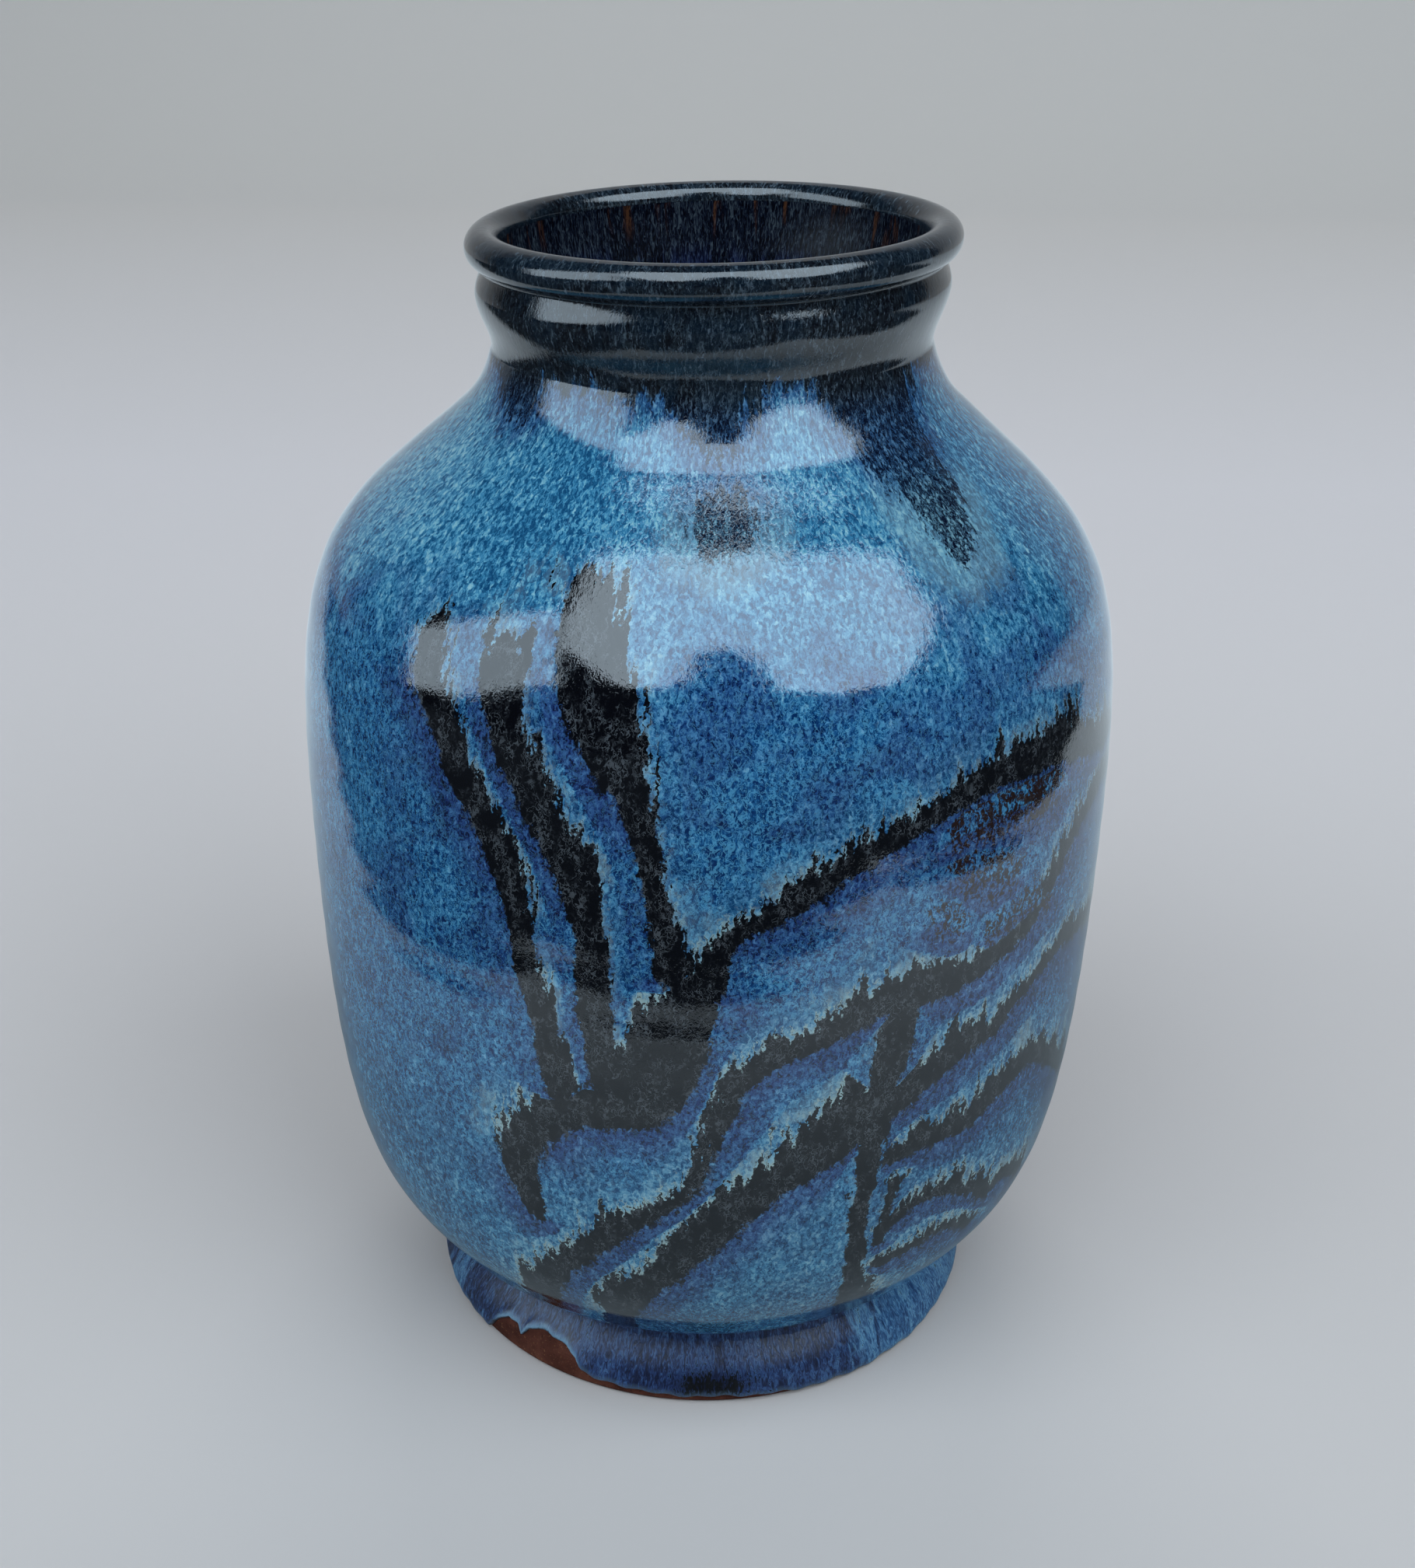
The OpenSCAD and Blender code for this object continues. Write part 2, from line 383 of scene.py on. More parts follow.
def glaze_fields(first, last, columns):
    """The numbers that the glaze's material reads, for rows first to last of the outer outline."""
    rows = np.arange(first, last + 1)
    ink, above, which = painted(rows, columns, ALL_STROKES)
    run, _, _ = painted(rows, columns, RUNS)
    a = angles(columns)[None, :]
    edge = travel_at(COLLAR_EDGE) + 1.5 * np.sin(3 * a + 1) + 1.0 * np.sin(7 * a)
    collar = edge - travel[rows][:, None] + 0 * a
    return {
        "ink": ink,
        "above": above,
        "thin": (which >= len(DARK_STROKES)) * 1.0,
        "dark": np.minimum(run, collar),
        "along": travel[rows][:, None] + 0 * a,
    }


# ---------------------------------------------------------------- materials


class Nodes:
    """A material's node tree, built one node at a time."""

    def __init__(self, name):
        self.material = bpy.data.materials.new(name)
        self.material.use_nodes = True
        self.tree = self.material.node_tree
        self.tree.nodes.clear()

    def add(self, kind, inputs=(), **settings):
        node = self.tree.nodes.new("ShaderNode" + kind)
        for setting, value in settings.items():
            setattr(node, setting, value)
        for socket, value in dict(inputs).items():
            if isinstance(value, bpy.types.NodeSocket):
                self.tree.links.new(value, node.inputs[socket])
            else:
                node.inputs[socket].default_value = value
        return node

    def math(self, operation, a, b=0.0, clamp=False):
        return self.add("Math", {0: a, 1: b}, operation=operation, use_clamp=clamp).outputs[0]

    def scaled(self, vector, scale):
        return self.add("VectorMath", {0: vector, 1: scale}, operation="MULTIPLY").outputs[0]

    def noise(self, vector, scale, detail=2.0, roughness=0.5, distortion=0.0):
        made = self.add("TexNoise", {"Vector": vector, "Scale": scale, "Detail": detail,
                                     "Roughness": roughness, "Distortion": distortion})
        return made.outputs[0]

    def ramp(self, value, stops):
        node = self.add("ValToRGB", {0: value})
        points = node.color_ramp.elements
        points[0].position, points[1].position = stops[0][0], stops[-1][0]
        points[0].color, points[1].color = (*stops[0][1], 1), (*stops[-1][1], 1)
        for position, colour in stops[1:-1]:
            points.new(position).color = (*colour, 1)
        return node.outputs[0]

    def fade(self, value, start, end):
        """0 before start and 1 after end; start may be the larger of the two."""
        node = self.add("MapRange", {0: value, 1: start, 2: end}, interpolation_type="SMOOTHSTEP")
        return node.outputs[0]

    def mix(self, share, a, b):
        node = self.add("Mix", data_type="RGBA")
        for socket, value in ((0, share), (6, a), (7, b)):
            if isinstance(value, bpy.types.NodeSocket):
                self.tree.links.new(value, node.inputs[socket])
            elif socket == 0:
                node.inputs[socket].default_value = value
            else:
                node.inputs[socket].default_value = (*value, 1)
        return node.outputs[2]

    def field(self, name):
        return self.add("Attribute", attribute_name=name).outputs["Fac"]

    def round_the_vase(self, along=None):
        """Coordinates in mm, with the vase's sides unrolled onto a cylinder of the belly's radius.
        along is the length up the side, if that is not to be the height."""
        place = self.add("TexCoord").outputs["Object"]
        flat = self.scaled(place, (1, 1, 0))
        unit = self.add("VectorMath", {0: flat}, operation="NORMALIZE").outputs[0]
        side = self.scaled(unit, (BELLY[0], BELLY[0], 0))
        up = self.scaled(place, (0, 0, 1 / MM))
        if along is not None:
            up = self.add("CombineXYZ", {2: along}).outputs[0]
        return self.add("VectorMath", {0: side, 1: up}, operation="ADD").outputs[0]

    def finish(self, colour, bump, **sockets):
        shader = self.add("BsdfPrincipled", {"Base Color": colour, "Normal": bump, **sockets})
        out = self.add("OutputMaterial")
        self.tree.links.new(shader.outputs[0], out.inputs[0])
        return self.material


NAVY = (0.0010, 0.020, 0.088)
BLUE = (0.009, 0.080, 0.210)
SKY = (0.056, 0.215, 0.380)
TURQUOISE = (0.180, 0.380, 0.520)
VIOLET_DARK = (0.002, 0.006, 0.028)
VIOLET = (0.014, 0.031, 0.125)
CREAM = (0.33, 0.43, 0.40)
INK = (0.0010, 0.0014, 0.0030)
# Grey-blue flecks in the ink: partly threads of glaze and partly painted glints
INK_FLECK_AND_GLINT = (0.074, 0.082, 0.092)
RUST = (0.040, 0.015, 0.009)


def glaze_material(name):
    """Mottled blue glaze, with brush strokes that feather upwards and bleed violet downwards."""
    n = Nodes(name)
    place = n.round_the_vase(n.field("along"))
    height = n.add("SeparateXYZ", {0: n.add("TexCoord").outputs["Object"]}).outputs[2]
    height = n.math("DIVIDE", height, MM)
    wander = n.add("TexNoise", {"Vector": place, "Scale": 0.8, "Detail": 2.0}).outputs[1]
    wander = n.add("VectorMath", {0: wander, 1: (0.5, 0.5, 0.5)}, operation="SUBTRACT").outputs[0]
    wander = n.scaled(wander, (2.2, 2.2, 2.2))
    warped = n.add("VectorMath", {0: place, 1: wander}, operation="ADD").outputs[0]
    grain = n.scaled(warped, (1, 1, 0.6))
    columns = n.scaled(warped, (1, 1, 0.10))
    fine = n.noise(grain, 1.0, 2, 0.60, 0.5)
    curls = n.noise(grain, 0.68, 0, 0.5, 0.8)
    threads = n.noise(n.scaled(warped, (1, 1, 0.45)), 1.0, 0, 0.5, 0.8)
    clusters = n.noise(grain, 0.28, 3, 0.6, 0.6)
    patches = n.noise(place, 0.055, 3, 0.55, 0.6)
    clouds = n.noise(place, 0.016, 2, 0.5)

    def hairline(value, width):
        """Thin curling threads, where a noise crosses its middle value."""
        return n.fade(n.math("ABSOLUTE", n.math("SUBTRACT", value, 0.5)), width, width * 0.2)

    def tip(value, width):
        """Sharp peaks, where a noise crosses its middle value."""
        away = n.math("ABSOLUTE", n.math("SUBTRACT", value, 0.5))
        return n.math("POWER", n.add("MapRange", {0: away, 1: width, 2: 0.0}).outputs[0], 1.5)

    def centred(value, size):
        return n.math("MULTIPLY", n.math("SUBTRACT", value, 0.5), size)

    tone = n.math("ADD", fine, centred(clusters, 0.35))
    tone = n.math("ADD", tone, centred(clouds, 0.30))
    blue = n.ramp(tone, [
        (0.38, NAVY), (0.46, (0.004, 0.048, 0.150)), (0.51, BLUE), (0.57, (0.022, 0.128, 0.275)),
        (0.65, SKY), (0.76, TURQUOISE),
    ])
    hair = n.math("MAXIMUM", hairline(curls, 0.050), hairline(threads, 0.055))
    shade = hairline(n.noise(grain, 0.80, 0, 0.5, 0.8), 0.050)
    blue = n.mix(n.math("MULTIPLY", shade, 0.72), blue, NAVY)
    blue = n.mix(n.math("MULTIPLY", hair, 0.70), blue, (0.080, 0.290, 0.450))
    violet = n.ramp(tone, [(0.36, VIOLET_DARK), (0.50, VIOLET), (0.62, (0.030, 0.078, 0.205)),
                           (0.74, (0.075, 0.180, 0.330))])
    violet = n.mix(n.math("MULTIPLY", shade, 0.50), violet, VIOLET_DARK)
    violet = n.mix(n.math("MULTIPLY", hair, 0.40), violet, (0.045, 0.13, 0.28))
    blue = n.mix(n.math("MULTIPLY", n.fade(patches, 0.54, 0.36), 0.55), blue, violet)
    lagoon = n.ramp(tone, [
        (0.38, (0.006, 0.062, 0.145)), (0.46, (0.022, 0.145, 0.265)), (0.52, (0.052, 0.222, 0.360)),
        (0.60, (0.120, 0.340, 0.445)), (0.72, (0.280, 0.480, 0.510)),
    ])
    high = n.fade(n.math("ADD", height, centred(patches, 50.0)), 192.0, 222.0)
    low = n.fade(n.math("ADD", height, centred(patches, 60.0)), 118.0, 60.0)
    blue = n.mix(n.math("ADD", n.math("MULTIPLY", high, 0.80), n.math("MULTIPLY", low, 0.40)), blue, lagoon)

    ink = n.field("ink")
    above = n.field("above")
    thin = n.field("thin")
    upper = n.fade(above, -0.05, 0.45)
    lower = n.fade(above, 0.05, -0.45)

    # Flames: tapering columns of different heights that pull the ink's upper edge upwards
    flame = tip(n.noise(columns, 0.24, 1, 0.5), 0.13)
    lick = tip(n.noise(columns, 0.70, 1, 0.5), 0.16)
    tall = n.math("MULTIPLY", flame, n.fade(n.noise(columns, 0.11, 1, 0.5), 0.30, 0.70))
    rise = n.math("ADD", n.math("MULTIPLY", tall, 7.0), n.math("MULTIPLY", lick, 3.0))
    rough_edge = n.math("ADD", centred(clusters, 5.0), centred(fine, 2.0))
    edge = n.math("SUBTRACT", n.math("ADD", ink, rough_edge), n.math("MULTIPLY", rise, upper))
    hard = n.fade(edge, 0.30, -0.30)

    # Underneath, the ink thins out between threads of glaze
    drip = n.math("ADD", centred(n.noise(columns, 0.45, 3, 0.6), 9.0), centred(fine, 9.0))
    soft = n.fade(n.math("ADD", ink, drip), 1.4, -1.6)
    soft = n.math("MULTIPLY", soft, lower)

    reach = n.math("ADD", ink, centred(clusters, 9.0))
    pool = n.math("MULTIPLY", n.fade(reach, 13.0, 2.0), lower)
    colour = n.mix(n.math("MULTIPLY", pool, 0.88), blue, violet)
    pale = n.ramp(tone, [(0.38, (0.008, 0.070, 0.170)), (0.47, (0.035, 0.150, 0.270)),
                         (0.56, (0.100, 0.270, 0.390)), (0.70, (0.250, 0.430, 0.500))])
    creamy = n.math("MULTIPLY", n.fade(patches, 0.50, 0.62), 0.5)
    pale = n.mix(creamy, pale, CREAM)
    halo = n.math("MULTIPLY", n.fade(n.math("ADD", edge, centred(clusters, 9.0)), 10.0, 1.0), upper)
    halo = n.math("MULTIPLY", halo, n.math("SUBTRACT", 1.0, thin))
    settled = n.add("MapRange", {0: height, 1: 185.0, 2: 125.0, 3: 0.30, 4: 0.85}).outputs[0]
    colour = n.mix(n.math("MULTIPLY", halo, settled), colour, pale)
    rim = n.math("MULTIPLY", n.fade(n.math("ADD", edge, centred(fine, 3.0)), 2.0, 0.3), upper)
    rim = n.math("MULTIPLY", rim, n.math("MULTIPLY", n.fade(clusters, 0.40, 0.55), settled))
    colour = n.mix(n.math("MULTIPLY", rim, n.math("SUBTRACT", 1.0, thin)), colour, CREAM)

    # Grey-blue flecks in the ink, partly threads of glaze showing through and partly painted glints
    flecks_and_glints = n.math("MULTIPLY", hair, n.fade(clusters, 0.38, 0.60))
    black = n.mix(n.math("MULTIPLY", flecks_and_glints, 0.75), INK, INK_FLECK_AND_GLINT)
    black = n.mix(n.math("MULTIPLY", thin, 0.4), black, RUST)
    cover = n.math("MAXIMUM", hard, soft)
    worn = n.math("MULTIPLY", thin, n.fade(tone, 0.44, 0.58))
    cover = n.math("MULTIPLY", cover, n.math("SUBTRACT", 1.0, worn))
    colour = n.mix(cover, colour, black)

    # Dark glaze on the collar, and where it ran down and broke up into threads
    streak = n.math("ADD", centred(n.noise(columns, 0.30, 3, 0.6), 14.0), centred(fine, 7.0))
    dark = n.math("ADD", n.field("dark"), streak)
    bleed = n.math("MULTIPLY", n.fade(dark, 8.0, 0.0), n.fade(height, 222.0, 236.0))
    colour = n.mix(n.math("MULTIPLY", bleed, 0.75), colour, violet)
    ring = n.math("MULTIPLY", n.fade(dark, 11.0, 4.0), n.fade(height, 234.0, 224.0))
    colour = n.mix(n.math("MULTIPLY", ring, 0.22), colour, CREAM)
    navy = n.ramp(tone, [
        (0.44, (0.0006, 0.0010, 0.0030)), (0.52, (0.0030, 0.0048, 0.0100)),
        (0.60, (0.0240, 0.0330, 0.0430)), (0.72, (0.085, 0.110, 0.135)),
    ])
    teal = n.mix(n.fade(patches, 0.45, 0.6), navy, n.mix(0.25, navy, (0.003, 0.020, 0.040)))
    teal = n.mix(n.math("MULTIPLY", hair, 0.45), teal, (0.032, 0.048, 0.060))
    gaps = n.math("MAXIMUM", n.math("MULTIPLY", hair, 0.80), n.fade(tone, 0.50, 0.66))
    below = n.fade(height, COLLAR_EDGE + 1.0, COLLAR_EDGE - 9.0)
    teal = n.mix(n.math("MULTIPLY", below, 0.60), teal, (0.0010, 0.0060, 0.0260))
    gaps = n.math("SUBTRACT", gaps, n.math("MULTIPLY", shade, 0.60), clamp=True)
    gaps = n.math("MULTIPLY", gaps, n.math("MULTIPLY", below, 0.75))
    cover = n.math("SUBTRACT", n.fade(dark, 1.0, -1.5), gaps, clamp=True)
    colour = n.mix(cover, colour, teal)

    relief = n.math("ADD", n.math("MULTIPLY", fine, 0.8), n.math("MULTIPLY", clusters, 1.2))
    bump = n.add("Bump", {"Height": relief, "Strength": 0.12, "Distance": 0.0003})
    rough = n.add("MapRange", {0: fine, 1: 0.3, 2: 0.7, 3: 0.02, 4: 0.045}).outputs[0]
    rough = n.math("ADD", rough, n.math("MULTIPLY", n.fade(height, 244.0, 254.0), 0.05))
    return n.finish(colour, bump.outputs[0], Roughness=rough, IOR=1.75)


def foot_material():
    """The same glaze over the foot: darker at the front than on the sides, dark where it thins at its lower
    edge, and with a pale bead at that edge.
    """
    n = Nodes("foot_glaze")
    place = n.round_the_vase()
    grain = n.scaled(place, (1, 1, 0.5))
    fine = n.noise(grain, 1.05, 3, 0.62, 1.2)
    clusters = n.noise(n.scaled(place, (1, 1, 0.4)), 0.16, 3, 0.6, 0.8)
    tone = n.math("ADD", fine, n.math("MULTIPLY", n.math("SUBTRACT", clusters, 0.5), 0.5))
    deep = n.ramp(tone, [(0.38, (0.004, 0.008, 0.030)), (0.50, (0.014, 0.030, 0.095)),
                         (0.62, (0.035, 0.085, 0.200)), (0.75, (0.090, 0.190, 0.330))])
    light = n.ramp(tone, [(0.36, (0.010, 0.045, 0.130)), (0.50, (0.040, 0.130, 0.270)),
                          (0.64, (0.130, 0.290, 0.430))])
    # Paler glaze on the sides of the foot than at its front, more so on the right
    side = n.math("ADD", n.field("light"), n.math("MULTIPLY", n.math("SUBTRACT", clusters, 0.5), 1.6))
    colour = n.mix(n.fade(side, 0.35, 0.75), deep, light)
    spots = n.math("ADD", n.field("spots"), n.math("MULTIPLY", n.math("SUBTRACT", tone, 0.5), 3.5))
    colour = n.mix(n.fade(spots, 0.55, 0.75), colour, INK)
    over = n.math("ADD", n.field("over"), n.math("MULTIPLY", n.math("SUBTRACT", fine, 0.5), 2.5))
    colour = n.mix(n.math("MULTIPLY", n.fade(over, 2.4, 0.8), n.field("bead")), colour, (0.17, 0.29, 0.40))
    thin_edge = n.fade(over, 0.9, 0.1)
    colour = n.mix(n.math("MULTIPLY", thin_edge, 0.8), colour, (0.020, 0.012, 0.014))
    bump = n.add("Bump", {"Height": tone, "Strength": 0.3, "Distance": 0.0004})
    return n.finish(colour, bump.outputs[0], Roughness=0.30, IOR=1.5)


def clay_material():
    """Bare fired stoneware: iron brown, gritty, with dark and rusty specks."""
    n = Nodes("bare_clay")
    place = n.scaled(n.add("TexCoord").outputs["Object"], (1 / MM, 1 / MM, 1 / MM))
    body = n.ramp(n.noise(place, 0.12, 4, 0.6), [
        (0.30, (0.041, 0.011, 0.007)), (0.50, (0.080, 0.024, 0.015)), (0.70, (0.125, 0.042, 0.026)),
    ])
    grit = n.noise(place, 1.6, 3, 0.6)
    colour = n.mix(n.math("MULTIPLY", n.fade(grit, 0.62, 0.70), 0.7), body, (0.24, 0.11, 0.05))
    colour = n.mix(n.math("MULTIPLY", n.fade(grit, 0.38, 0.30), 0.8), colour, (0.012, 0.007, 0.006))
    turning = n.noise(n.scaled(place, (0.02, 0.02, 1.5)), 1.0, 3, 0.6)
    relief = n.math("ADD", grit, n.math("MULTIPLY", turning, 0.8))
    bump = n.add("Bump", {"Height": relief, "Strength": 0.6, "Distance": 0.0003})
    return n.finish(colour, bump.outputs[0], Roughness=0.8, IOR=1.2)


def liner_material():
    """Dark glaze poured inside: navy and speckled, rusty near the lip and violet further down."""
    n = Nodes("liner_glaze")
    place = n.round_the_vase()
    grain = n.scaled(place, (1, 1, 0.45))
    fine = n.noise(grain, 1.0, 3, 0.62, 1.2)
    streak = n.noise(n.scaled(place, (1, 1, 0.25)), 0.10, 3, 0.6, 0.8)
    tone = n.math("ADD", fine, n.math("MULTIPLY", n.math("SUBTRACT", streak, 0.5), 0.4))
    colour = n.ramp(tone, [(0.44, (0.0010, 0.0014, 0.0040)), (0.54, (0.005, 0.008, 0.018)),
                           (0.66, (0.042, 0.054, 0.066))])
    height = n.add("SeparateXYZ", {0: place}).outputs[2]
    low = n.fade(height, VASE_H - 12, VASE_H - 24)
    violet = n.mix(n.fade(fine, 0.40, 0.62), (0.004, 0.006, 0.026), (0.022, 0.036, 0.120))
    colour = n.mix(n.math("MULTIPLY", n.fade(streak, 0.46, 0.58), low), colour, violet)
    high = n.fade(height, VASE_H - 14, VASE_H - 6)
    rust = n.math("MULTIPLY", n.fade(streak, 0.46, 0.34), high)
    colour = n.mix(n.math("MULTIPLY", rust, n.fade(fine, 0.35, 0.6)), colour, (0.075, 0.028, 0.012))
    bump = n.add("Bump", {"Height": tone, "Strength": 0.25, "Distance": 0.0003})
    return n.finish(colour, bump.outputs[0], Roughness=0.22, IOR=1.22)


def floor_material():
    """Pale and matt, with painted shade: a little darker towards the front, and a touch darker again far
    back.
    """
    n = Nodes("pale_floor")
    place = n.add("TexCoord").outputs["Object"]
    back = n.add("SeparateXYZ", {0: place}).outputs[1]
    # Painted shade across the floor: darker towards the front and a little darker far back
    colour = n.ramp(n.add("MapRange", {0: back, 1: -0.2, 2: 1.8}).outputs[0], [
        (0.00, (0.541, 0.475, 0.440)), (0.14, (0.638, 0.556, 0.520)), (0.45, (0.720, 0.636, 0.615)),
        (1.00, (0.690, 0.620, 0.572)),
    ])
    bump = n.add("Bump", {"Height": n.noise(place, 400.0, 2, 0.5), "Strength": 0.05, "Distance": 0.0002})
    return n.finish(colour, bump.outputs[0], Roughness=0.8)


def dark_card_material():
    """Near black: a painted dark reflection, for the dark parts of the room that the gloss mirrors low
    down.
    """
    n = Nodes("dark_card")
    return n.finish((0.006, 0.007, 0.008, 1), n.add("NewGeometry").outputs["Normal"], Roughness=0.9)


def mirrored_shade_card_material():
    """Painted shade that only the gloss mirrors: darker next to the vase and pale further off."""
    n = Nodes("mirrored_shade_card")
    away = n.add("VectorMath", {0: n.add("TexCoord").outputs["Object"]}, operation="LENGTH").outputs[1]
    shade = n.ramp(away, [(0.16, (0.25, 0.26, 0.26)), (0.48, (0.88, 0.86, 0.84))])
    return n.finish(shade, n.add("NewGeometry").outputs["Normal"], Roughness=0.9)


# ---------------------------------------------------------------- the glazed outside

# Points round each piece
BODY_COLUMNS = 720
COLLAR_COLUMNS = 480
FOOT_COLUMNS = 640
FOOT_CLAY_COLUMNS = 512
CLAY_COLUMNS = 256

BODY_BANDS = 4        # pieces that the body glaze is split into, to keep each one light
BACK_STRIDE = 6       # rows of the outline to one row of a glaze coat's hidden side

blue_glaze = glaze_material("blue_glaze")
black_glaze = glaze_material("black_glaze")
bare_clay = clay_material()


def every(outline_rows, stride):
    """Some of a run of row numbers, with both its ends."""
    return sorted(set(outline_rows[::stride]) | {outline_rows[-1]})


def glaze_ring(name, first, last, columns, node, material):
    """A band of the outer glaze between two rows of the outline."""
    body = surface(outer, columns)
    rows = list(range(first, last + 1))
    back = surface(clay[every(rows, BACK_STRIDE)], columns)
    piece = turned(name, body[rows], back, node, grid_normals(body)[rows],
                   glaze_fields(first, last, columns))
    return dressed(piece, material)


def body_glaze():
    cuts = np.linspace(AT_WAIST, AT_ROOT, BODY_BANDS + 1).round().astype(int)
    for number, (first, last) in enumerate(zip(cuts, cuts[1:]), start=1):
        name = f"body_glaze_{number}"
        glaze_ring(name, first, last, BODY_COLUMNS, "glaze_body", blue_glaze)


# Height of the glaze's edge above the table, by angle: a bare patch at the front left
GLAZE_EDGE = [
    (-180, 2.6), (-150, 4.2), (-120, 1.6), (-90, 3.0), (-60, 1.2), (-51, 1.4), (-48, 5.5),
    (-45, 8.4), (-42, 8.0), (-40.5, 6.2), (-39, 8.8), (-34, 9.6), (-29, 9.0), (-26.5, 7.6),
    (-25, 4.6), (-22, 3.2), (-10, 2.8), (4, 2.4), (14, 2.2), (20, 1.2), (45, 0.9), (80, 1.8),
    (110, 3.4), (140, 2.0), (180, 2.6),
]
BEAD = 0.5            # how far the glaze's lower edge stands proud where it gathered
BEAD_H = 1.6          # how far above that edge it is thickest
EDGE_ROUND = 0.8      # height over which the edge rounds off
FOOT_ROWS = 34
FOOT_BACK_ROWS = [0, 6, 12, 20, FOOT_ROWS - 1]


def foot_glaze():
    """The coat on the foot, from its ragged lower edge up to the waist."""
    a = angles(FOOT_COLUMNS)
    turn = (np.degrees(a) + 180) % 360 - 180
    edge_angle, edge_height = np.array(GLAZE_EDGE).T
    edge = np.interp(turn, edge_angle, edge_height)
    edge = edge + 0.35 * np.sin(23 * a) * np.sin(5 * a + 1) + 0.25 * np.sin(61 * a + 2)
    share = np.linspace(0, 1, FOOT_ROWS)[:, None] ** 1.4
    height = edge + (WAIST[1] - edge) * share
    side = np.concatenate([[[FOOT_R, 0.0]], foot_side, WAIST[None]])
    radius = np.interp(height, side[:, 1], side[:, 0])
    over = height - edge
    rounding = GLAZE_T * (1 - np.sqrt(1 - (1 - np.clip(over / EDGE_ROUND, 0, 1)) ** 2))
    bead = BEAD * np.exp(-((over - BEAD_H) / BEAD_H) ** 2) * ease(over, 0, EDGE_ROUND)
    front = thrown(radius + bead - rounding, height, a[None, :] + 0 * height)
    under = np.interp(height, clay[:AT_WAIST + 1, 1], clay[:AT_WAIST + 1, 0])
    back = thrown(under, height, a[None, :] + 0 * height)[FOOT_BACK_ROWS]
    near_bare = ease(edge, 4.0, 7.0) * 0.75 + 0.2
    fields = {
        "over": over,
        # paler on the sides than at the front, and more on the right than on the left
        "light": np.where(turn > 0, 1.0, 0.45) * ease(np.abs(turn), 18, 55) + 0 * over,
        "spots": np.exp(-((turn - 2) / 9) ** 2 - ((height - 6) / 3.5) ** 2),
        "bead": near_bare + 0 * over,
    }
    piece = turned("foot_glaze", front, back, "glaze_foot", fields=fields)
    return dressed(piece, foot_material())


# ---------------------------------------------------------------- clay and liner

EDGE_R = 2.0          # rounding of the standing ring's edges
HOLLOW_R = FLOOR_R + 2.5


def clay_ring(name, front_outline, back_outline, node, columns=CLAY_COLUMNS):
    piece = turned(name, surface(front_outline, columns), surface(back_outline, columns), node)
    return dressed(piece, bare_clay)


def clay_pieces():
    joint = clay[AT_WAIST]
    side_r = clay[0, 0]
    standing = np.concatenate([
        arc([HOLLOW_R + EDGE_R, EDGE_R], EDGE_R, 180, 270, 6),
        line([HOLLOW_R + EDGE_R, 0], [side_r - EDGE_R, 0], 1)[1:],
        arc([side_r - EDGE_R, EDGE_R], EDGE_R, -90, 0, 8),
        clay[:AT_WAIST + 1],
    ])
    hollow = np.concatenate([
        line([HOLLOW_R, EDGE_R + 0.5], [FLOOR_R, RECESS_Z], 1.5),
        line([FLOOR_R, RECESS_Z], [FLOOR_R, joint[1]], 1.5),
        [[FLOOR_R, joint[1]]],
    ])
    clay_ring("foot_ring", standing, hollow, "clay_foot", FOOT_CLAY_COLUMNS)
    under = np.concatenate([
        line([0.0, RECESS_Z], [FLOOR_R, RECESS_Z], 1.5),
        [[FLOOR_R, RECESS_Z], [FLOOR_R, FLOOR_Z]],
    ])
    clay_ring("floor", under, np.array([[0.0, FLOOR_Z], [FLOOR_R - 1, FLOOR_Z]]), "clay_floor")
    lower = np.concatenate([[[FLOOR_R, joint[1]]], clay[AT_WAIST:AT_BELLY + 1:3], clay[AT_BELLY][None]])
    clay_ring("belly_wall", lower, inside[IN_FLOOR:IN_BELLY + 1], "clay_belly")
    clay_ring("shoulder_wall", clay[AT_BELLY:AT_ROOT + 1:2], inside[IN_BELLY:IN_ROOT + 1], "clay_shoulder")
    clay_ring("collar_wall", clay[AT_ROOT:AT_GROOVE + 1], inside[IN_ROOT:IN_LIP + 1], "clay_collar")
    clay_ring("lip_roll", clay[AT_GROOVE:AT_TOP], inside[IN_LIP:IN_TOP + 1], "clay_lip")


def liner():
    """The coat inside: its free face looks at the axis and its other face lies on the clay."""
    free = inset(inside, GLAZE_T)
    hidden = inside[every(list(range(len(inside))), 2)]
    on_clay = surface(hidden, CLAY_COLUMNS)
    piece = turned("liner", on_clay, surface(free, CLAY_COLUMNS), "glaze_liner")
    return dressed(piece, liner_material())


body_glaze()
glaze_ring("collar_glaze", AT_ROOT, AT_TOP, COLLAR_COLUMNS, "glaze_collar", black_glaze)
foot_glaze()
clay_pieces()
liner()

# ---------------------------------------------------------------- stage, light and camera

CAMERA_PLACE = (0.0007, -0.436, 0.3503)
CAMERA_LENS = 44.62
# The camera's angles, in degrees
LOOK_DOWN = 26.05
LOOK_LEFT = 0.10
CAMERA_ROLL = 0.77


def camera():
    data = bpy.data.cameras.new("camera")
    data.lens = CAMERA_LENS
    data.clip_start = 0.01
    piece = bpy.data.objects.new("camera", data)
    turn = Matrix.Rotation(math.radians(LOOK_LEFT), 4, "Z")
    tilt = Matrix.Rotation(math.radians(90 - LOOK_DOWN), 4, "X")
    roll = Matrix.Rotation(math.radians(CAMERA_ROLL), 4, "Z")
    piece.matrix_world = Matrix.Translation(CAMERA_PLACE) @ turn @ tilt @ roll
    bpy.context.scene.collection.objects.link(piece)
    bpy.context.scene.camera = piece


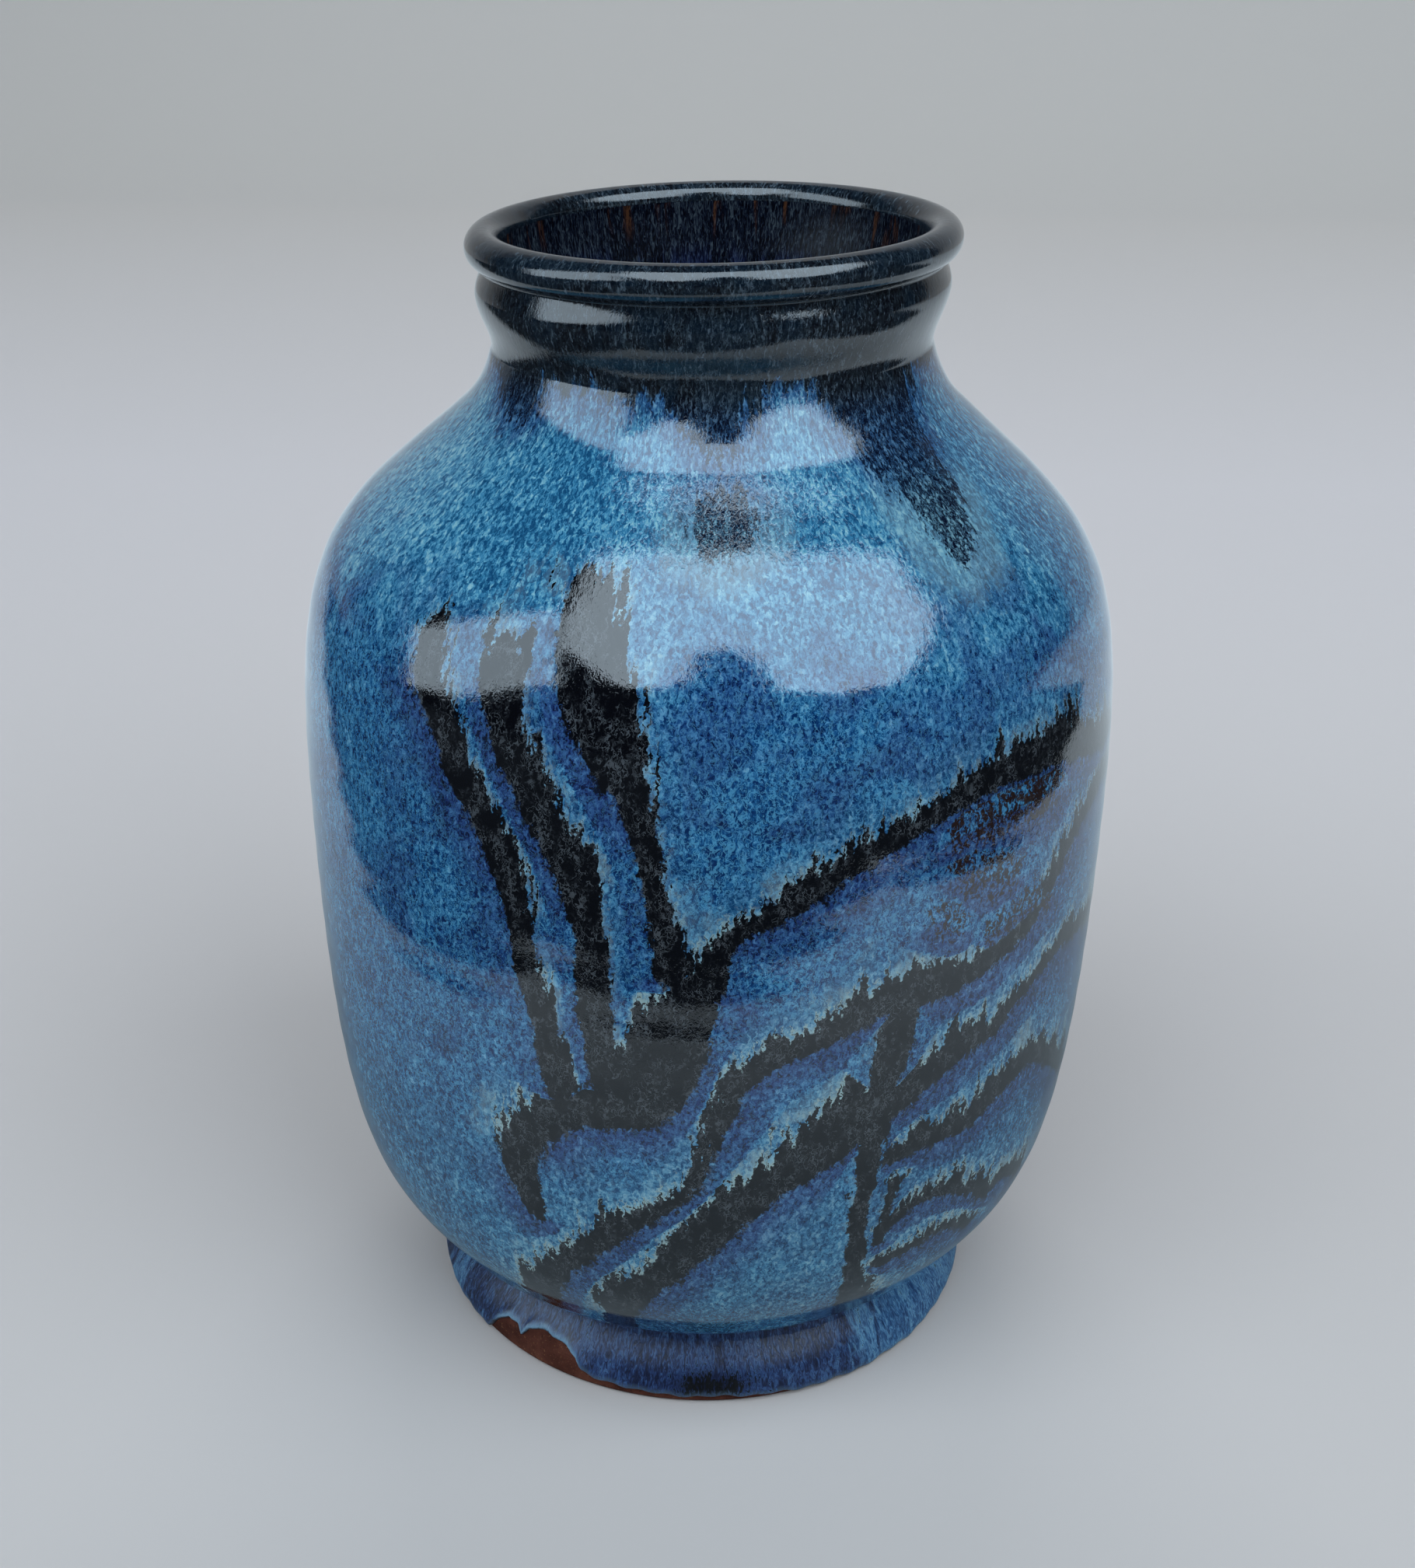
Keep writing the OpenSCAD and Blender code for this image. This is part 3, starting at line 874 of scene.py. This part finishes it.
# Openings to the sky overhead, as corners (x, y) in metres at SKY_H above the floor
SKY_H = 3.0
SKY_MAIN = [
    (-2.4, -2.1), (-2.3, -3.1), (-2.4, -4.9), (-1.2, -5.0), (-0.35, -3.8), (-0.15, -2.6),
    (0.35, -2.4), (0.95, -2.95), (1.9, -5.0), (4.4, -5.6), (6.0, -4.4), (4.4, -1.5), (3.4, -0.4),
    (2.2, 0.1), (1.0, -0.5), (-0.2, -0.65), (-1.3, -0.4), (-1.9, -1.2),
]
# A lower opening on the left, as corners (y, z) in metres at SIDE_X
SIDE_X = -3.0
SKY_SIDE = [
    (0.15, 1.2), (-0.2, 0.2), (-1.0, 0.45), (-1.7, 0.75), (-2.3, 1.15), (-3.4, 2.0), (-2.5, 3.6),
    (-1.9, 4.4), (-1.45, 4.6), (-0.75, 2.8), (-0.4, 2.1),
]
SKY_RADIANCE = 3.3
SIDE_SHARE = 0.75     # how bright the opening on the left is, beside the one overhead
SKY_COLOUR = (0.75, 0.92, 1.06, 1)

FILL_PLACE = (0, 3.0, 2.8)
FILL_AIM = (0, 1.2, 0)
FILL_SIZE = 2.0
FILL_POWER = 90
FILL_COLOUR = (0.84, 0.95, 1.03)

ROOM_COLOUR = (0.9, 0.95, 1.0, 1)
ROOM_STRENGTH = 0.02
WALL_COLOUR = (0.42, 0.44, 0.46, 1)


def sky_opening(name, corners, radiance):
    n = Nodes(name)
    glow = n.add("Emission", {"Color": SKY_COLOUR, "Strength": radiance})
    n.tree.links.new(glow.outputs[0], n.add("OutputMaterial").inputs[0])
    mesh = bpy.data.meshes.new(name)
    mesh.from_pydata(corners, [], [list(range(len(corners)))])
    mesh.materials.append(n.material)
    piece = bpy.data.objects.new(name, mesh)
    bpy.context.scene.collection.objects.link(piece)
    piece.visible_camera = False


def fill():
    """A soft light on the floor that the glaze does not mirror."""
    data = bpy.data.lights.new("fill_back", "AREA")
    data.shape = "SQUARE"
    data.size = FILL_SIZE
    data.energy = FILL_POWER
    data.color = FILL_COLOUR
    light = bpy.data.objects.new("fill_back", data)
    light.location = FILL_PLACE
    light.rotation_mode = "QUATERNION"
    light.rotation_quaternion = (Vector(FILL_PLACE) - Vector(FILL_AIM)).to_track_quat("Z", "Y")
    light.visible_glossy = False
    light.visible_camera = False
    bpy.context.scene.collection.objects.link(light)


def lights():
    sky_opening("sky_main", [(x, y, SKY_H) for x, y in SKY_MAIN], SKY_RADIANCE)
    sky_opening("sky_side", [(SIDE_X, y, z) for y, z in SKY_SIDE], SKY_RADIANCE * SIDE_SHARE)
    fill()
    room()


def room():
    """A dim room that the camera itself sees as a pale wall."""
    world = bpy.data.worlds.new("room")
    world.use_nodes = True
    tree = world.node_tree
    dim = tree.nodes["Background"]
    dim.inputs[0].default_value = ROOM_COLOUR
    dim.inputs[1].default_value = ROOM_STRENGTH
    wall = tree.nodes.new("ShaderNodeBackground")
    wall.inputs[0].default_value = WALL_COLOUR
    mix = tree.nodes.new("ShaderNodeMixShader")
    tree.links.new(tree.nodes.new("ShaderNodeLightPath").outputs["Is Camera Ray"], mix.inputs[0])
    tree.links.new(dim.outputs[0], mix.inputs[1])
    tree.links.new(wall.outputs[0], mix.inputs[2])
    tree.links.new(mix.outputs[0], tree.nodes["World Output"].inputs[0])
    bpy.context.scene.world = world


def sheet_mesh(name, rows, material):
    """A stage surface through rows of points."""
    count, columns = len(rows), len(rows[0])
    points = [p for row in rows for p in row]
    faces = [
        (i * columns + j, i * columns + j + 1, (i + 1) * columns + j + 1, (i + 1) * columns + j)
        for i in range(count - 1) for j in range(columns - 1)
    ]
    mesh = bpy.data.meshes.new(name)
    mesh.from_pydata(points, [], faces)
    mesh.shade_smooth()
    mesh.materials.append(material)
    piece = bpy.data.objects.new(name, mesh)
    bpy.context.scene.collection.objects.link(piece)
    return piece


# The floor, in metres
FLOOR_HALF = 4.0      # from the vase to the floor's sides and front
FLOOR_BACK = 1.6      # where the floor starts to turn up
SWEEP_R = 1.0
SWEEP_STEPS = 24
SWEEP_TOP = 3.5

# Cards just over the floor, as rows of points (x, y) in metres. The gloss alone sees them: they are painted
# shade and painted dark reflections.
CARD_H = 0.0012
CARD_FAR = 6          # half the side of the pale card under the dark ones
DARK_CARDS = {
    "card_front": [[(-6, -6), (-0.20, -0.26)], [(6, -6), (0.30, -0.33)]],
    "card_left": [[(-6, -6), (-0.20, -0.26)], [(-6, 0.5), (-0.315, 0.05)], [(-6, 6), (-2.7, 3.2)]],
    "card_right": [[(0.30, -0.33), (6, -6)], [(0.48, 0.12), (6, 0.12)], [(0.64, 0.35), (6, 0.35)]],
}


def floor_sweep():
    """A pale floor that turns up behind the vase."""
    sweep = [(-FLOOR_HALF, 0.0), (FLOOR_BACK, 0.0)]
    for angle in np.radians(np.linspace(0, 90, SWEEP_STEPS + 1))[1:]:
        sweep.append((FLOOR_BACK + SWEEP_R * math.sin(angle), SWEEP_R - SWEEP_R * math.cos(angle)))
    sweep.append((FLOOR_BACK + SWEEP_R, SWEEP_TOP))
    rows = [[(x, y, z) for x in (-FLOOR_HALF, FLOOR_HALF)] for y, z in sweep]
    sheet_mesh("floor_sweep", rows, floor_material())


def card(name, rows, height, material):
    piece = sheet_mesh(name, [[(x, y, height) for x, y in row] for row in rows], material)
    piece.visible_camera = False
    piece.visible_diffuse = False
    piece.visible_shadow = False
    piece.visible_transmission = False


def stage():
    floor_sweep()
    middle = [[(x, y) for x in (-CARD_FAR, CARD_FAR)] for y in (-CARD_FAR, CARD_FAR)]
    # A card of painted shade under the vase, darker next to it, seen by the gloss alone
    card("card_middle", middle, CARD_H / 2, mirrored_shade_card_material())
    dark = dark_card_material()
    for name, rows in DARK_CARDS.items():
        card(name, rows, CARD_H, dark)


camera()
lights()
stage()
bpy.context.scene.view_settings.view_transform = "Standard"
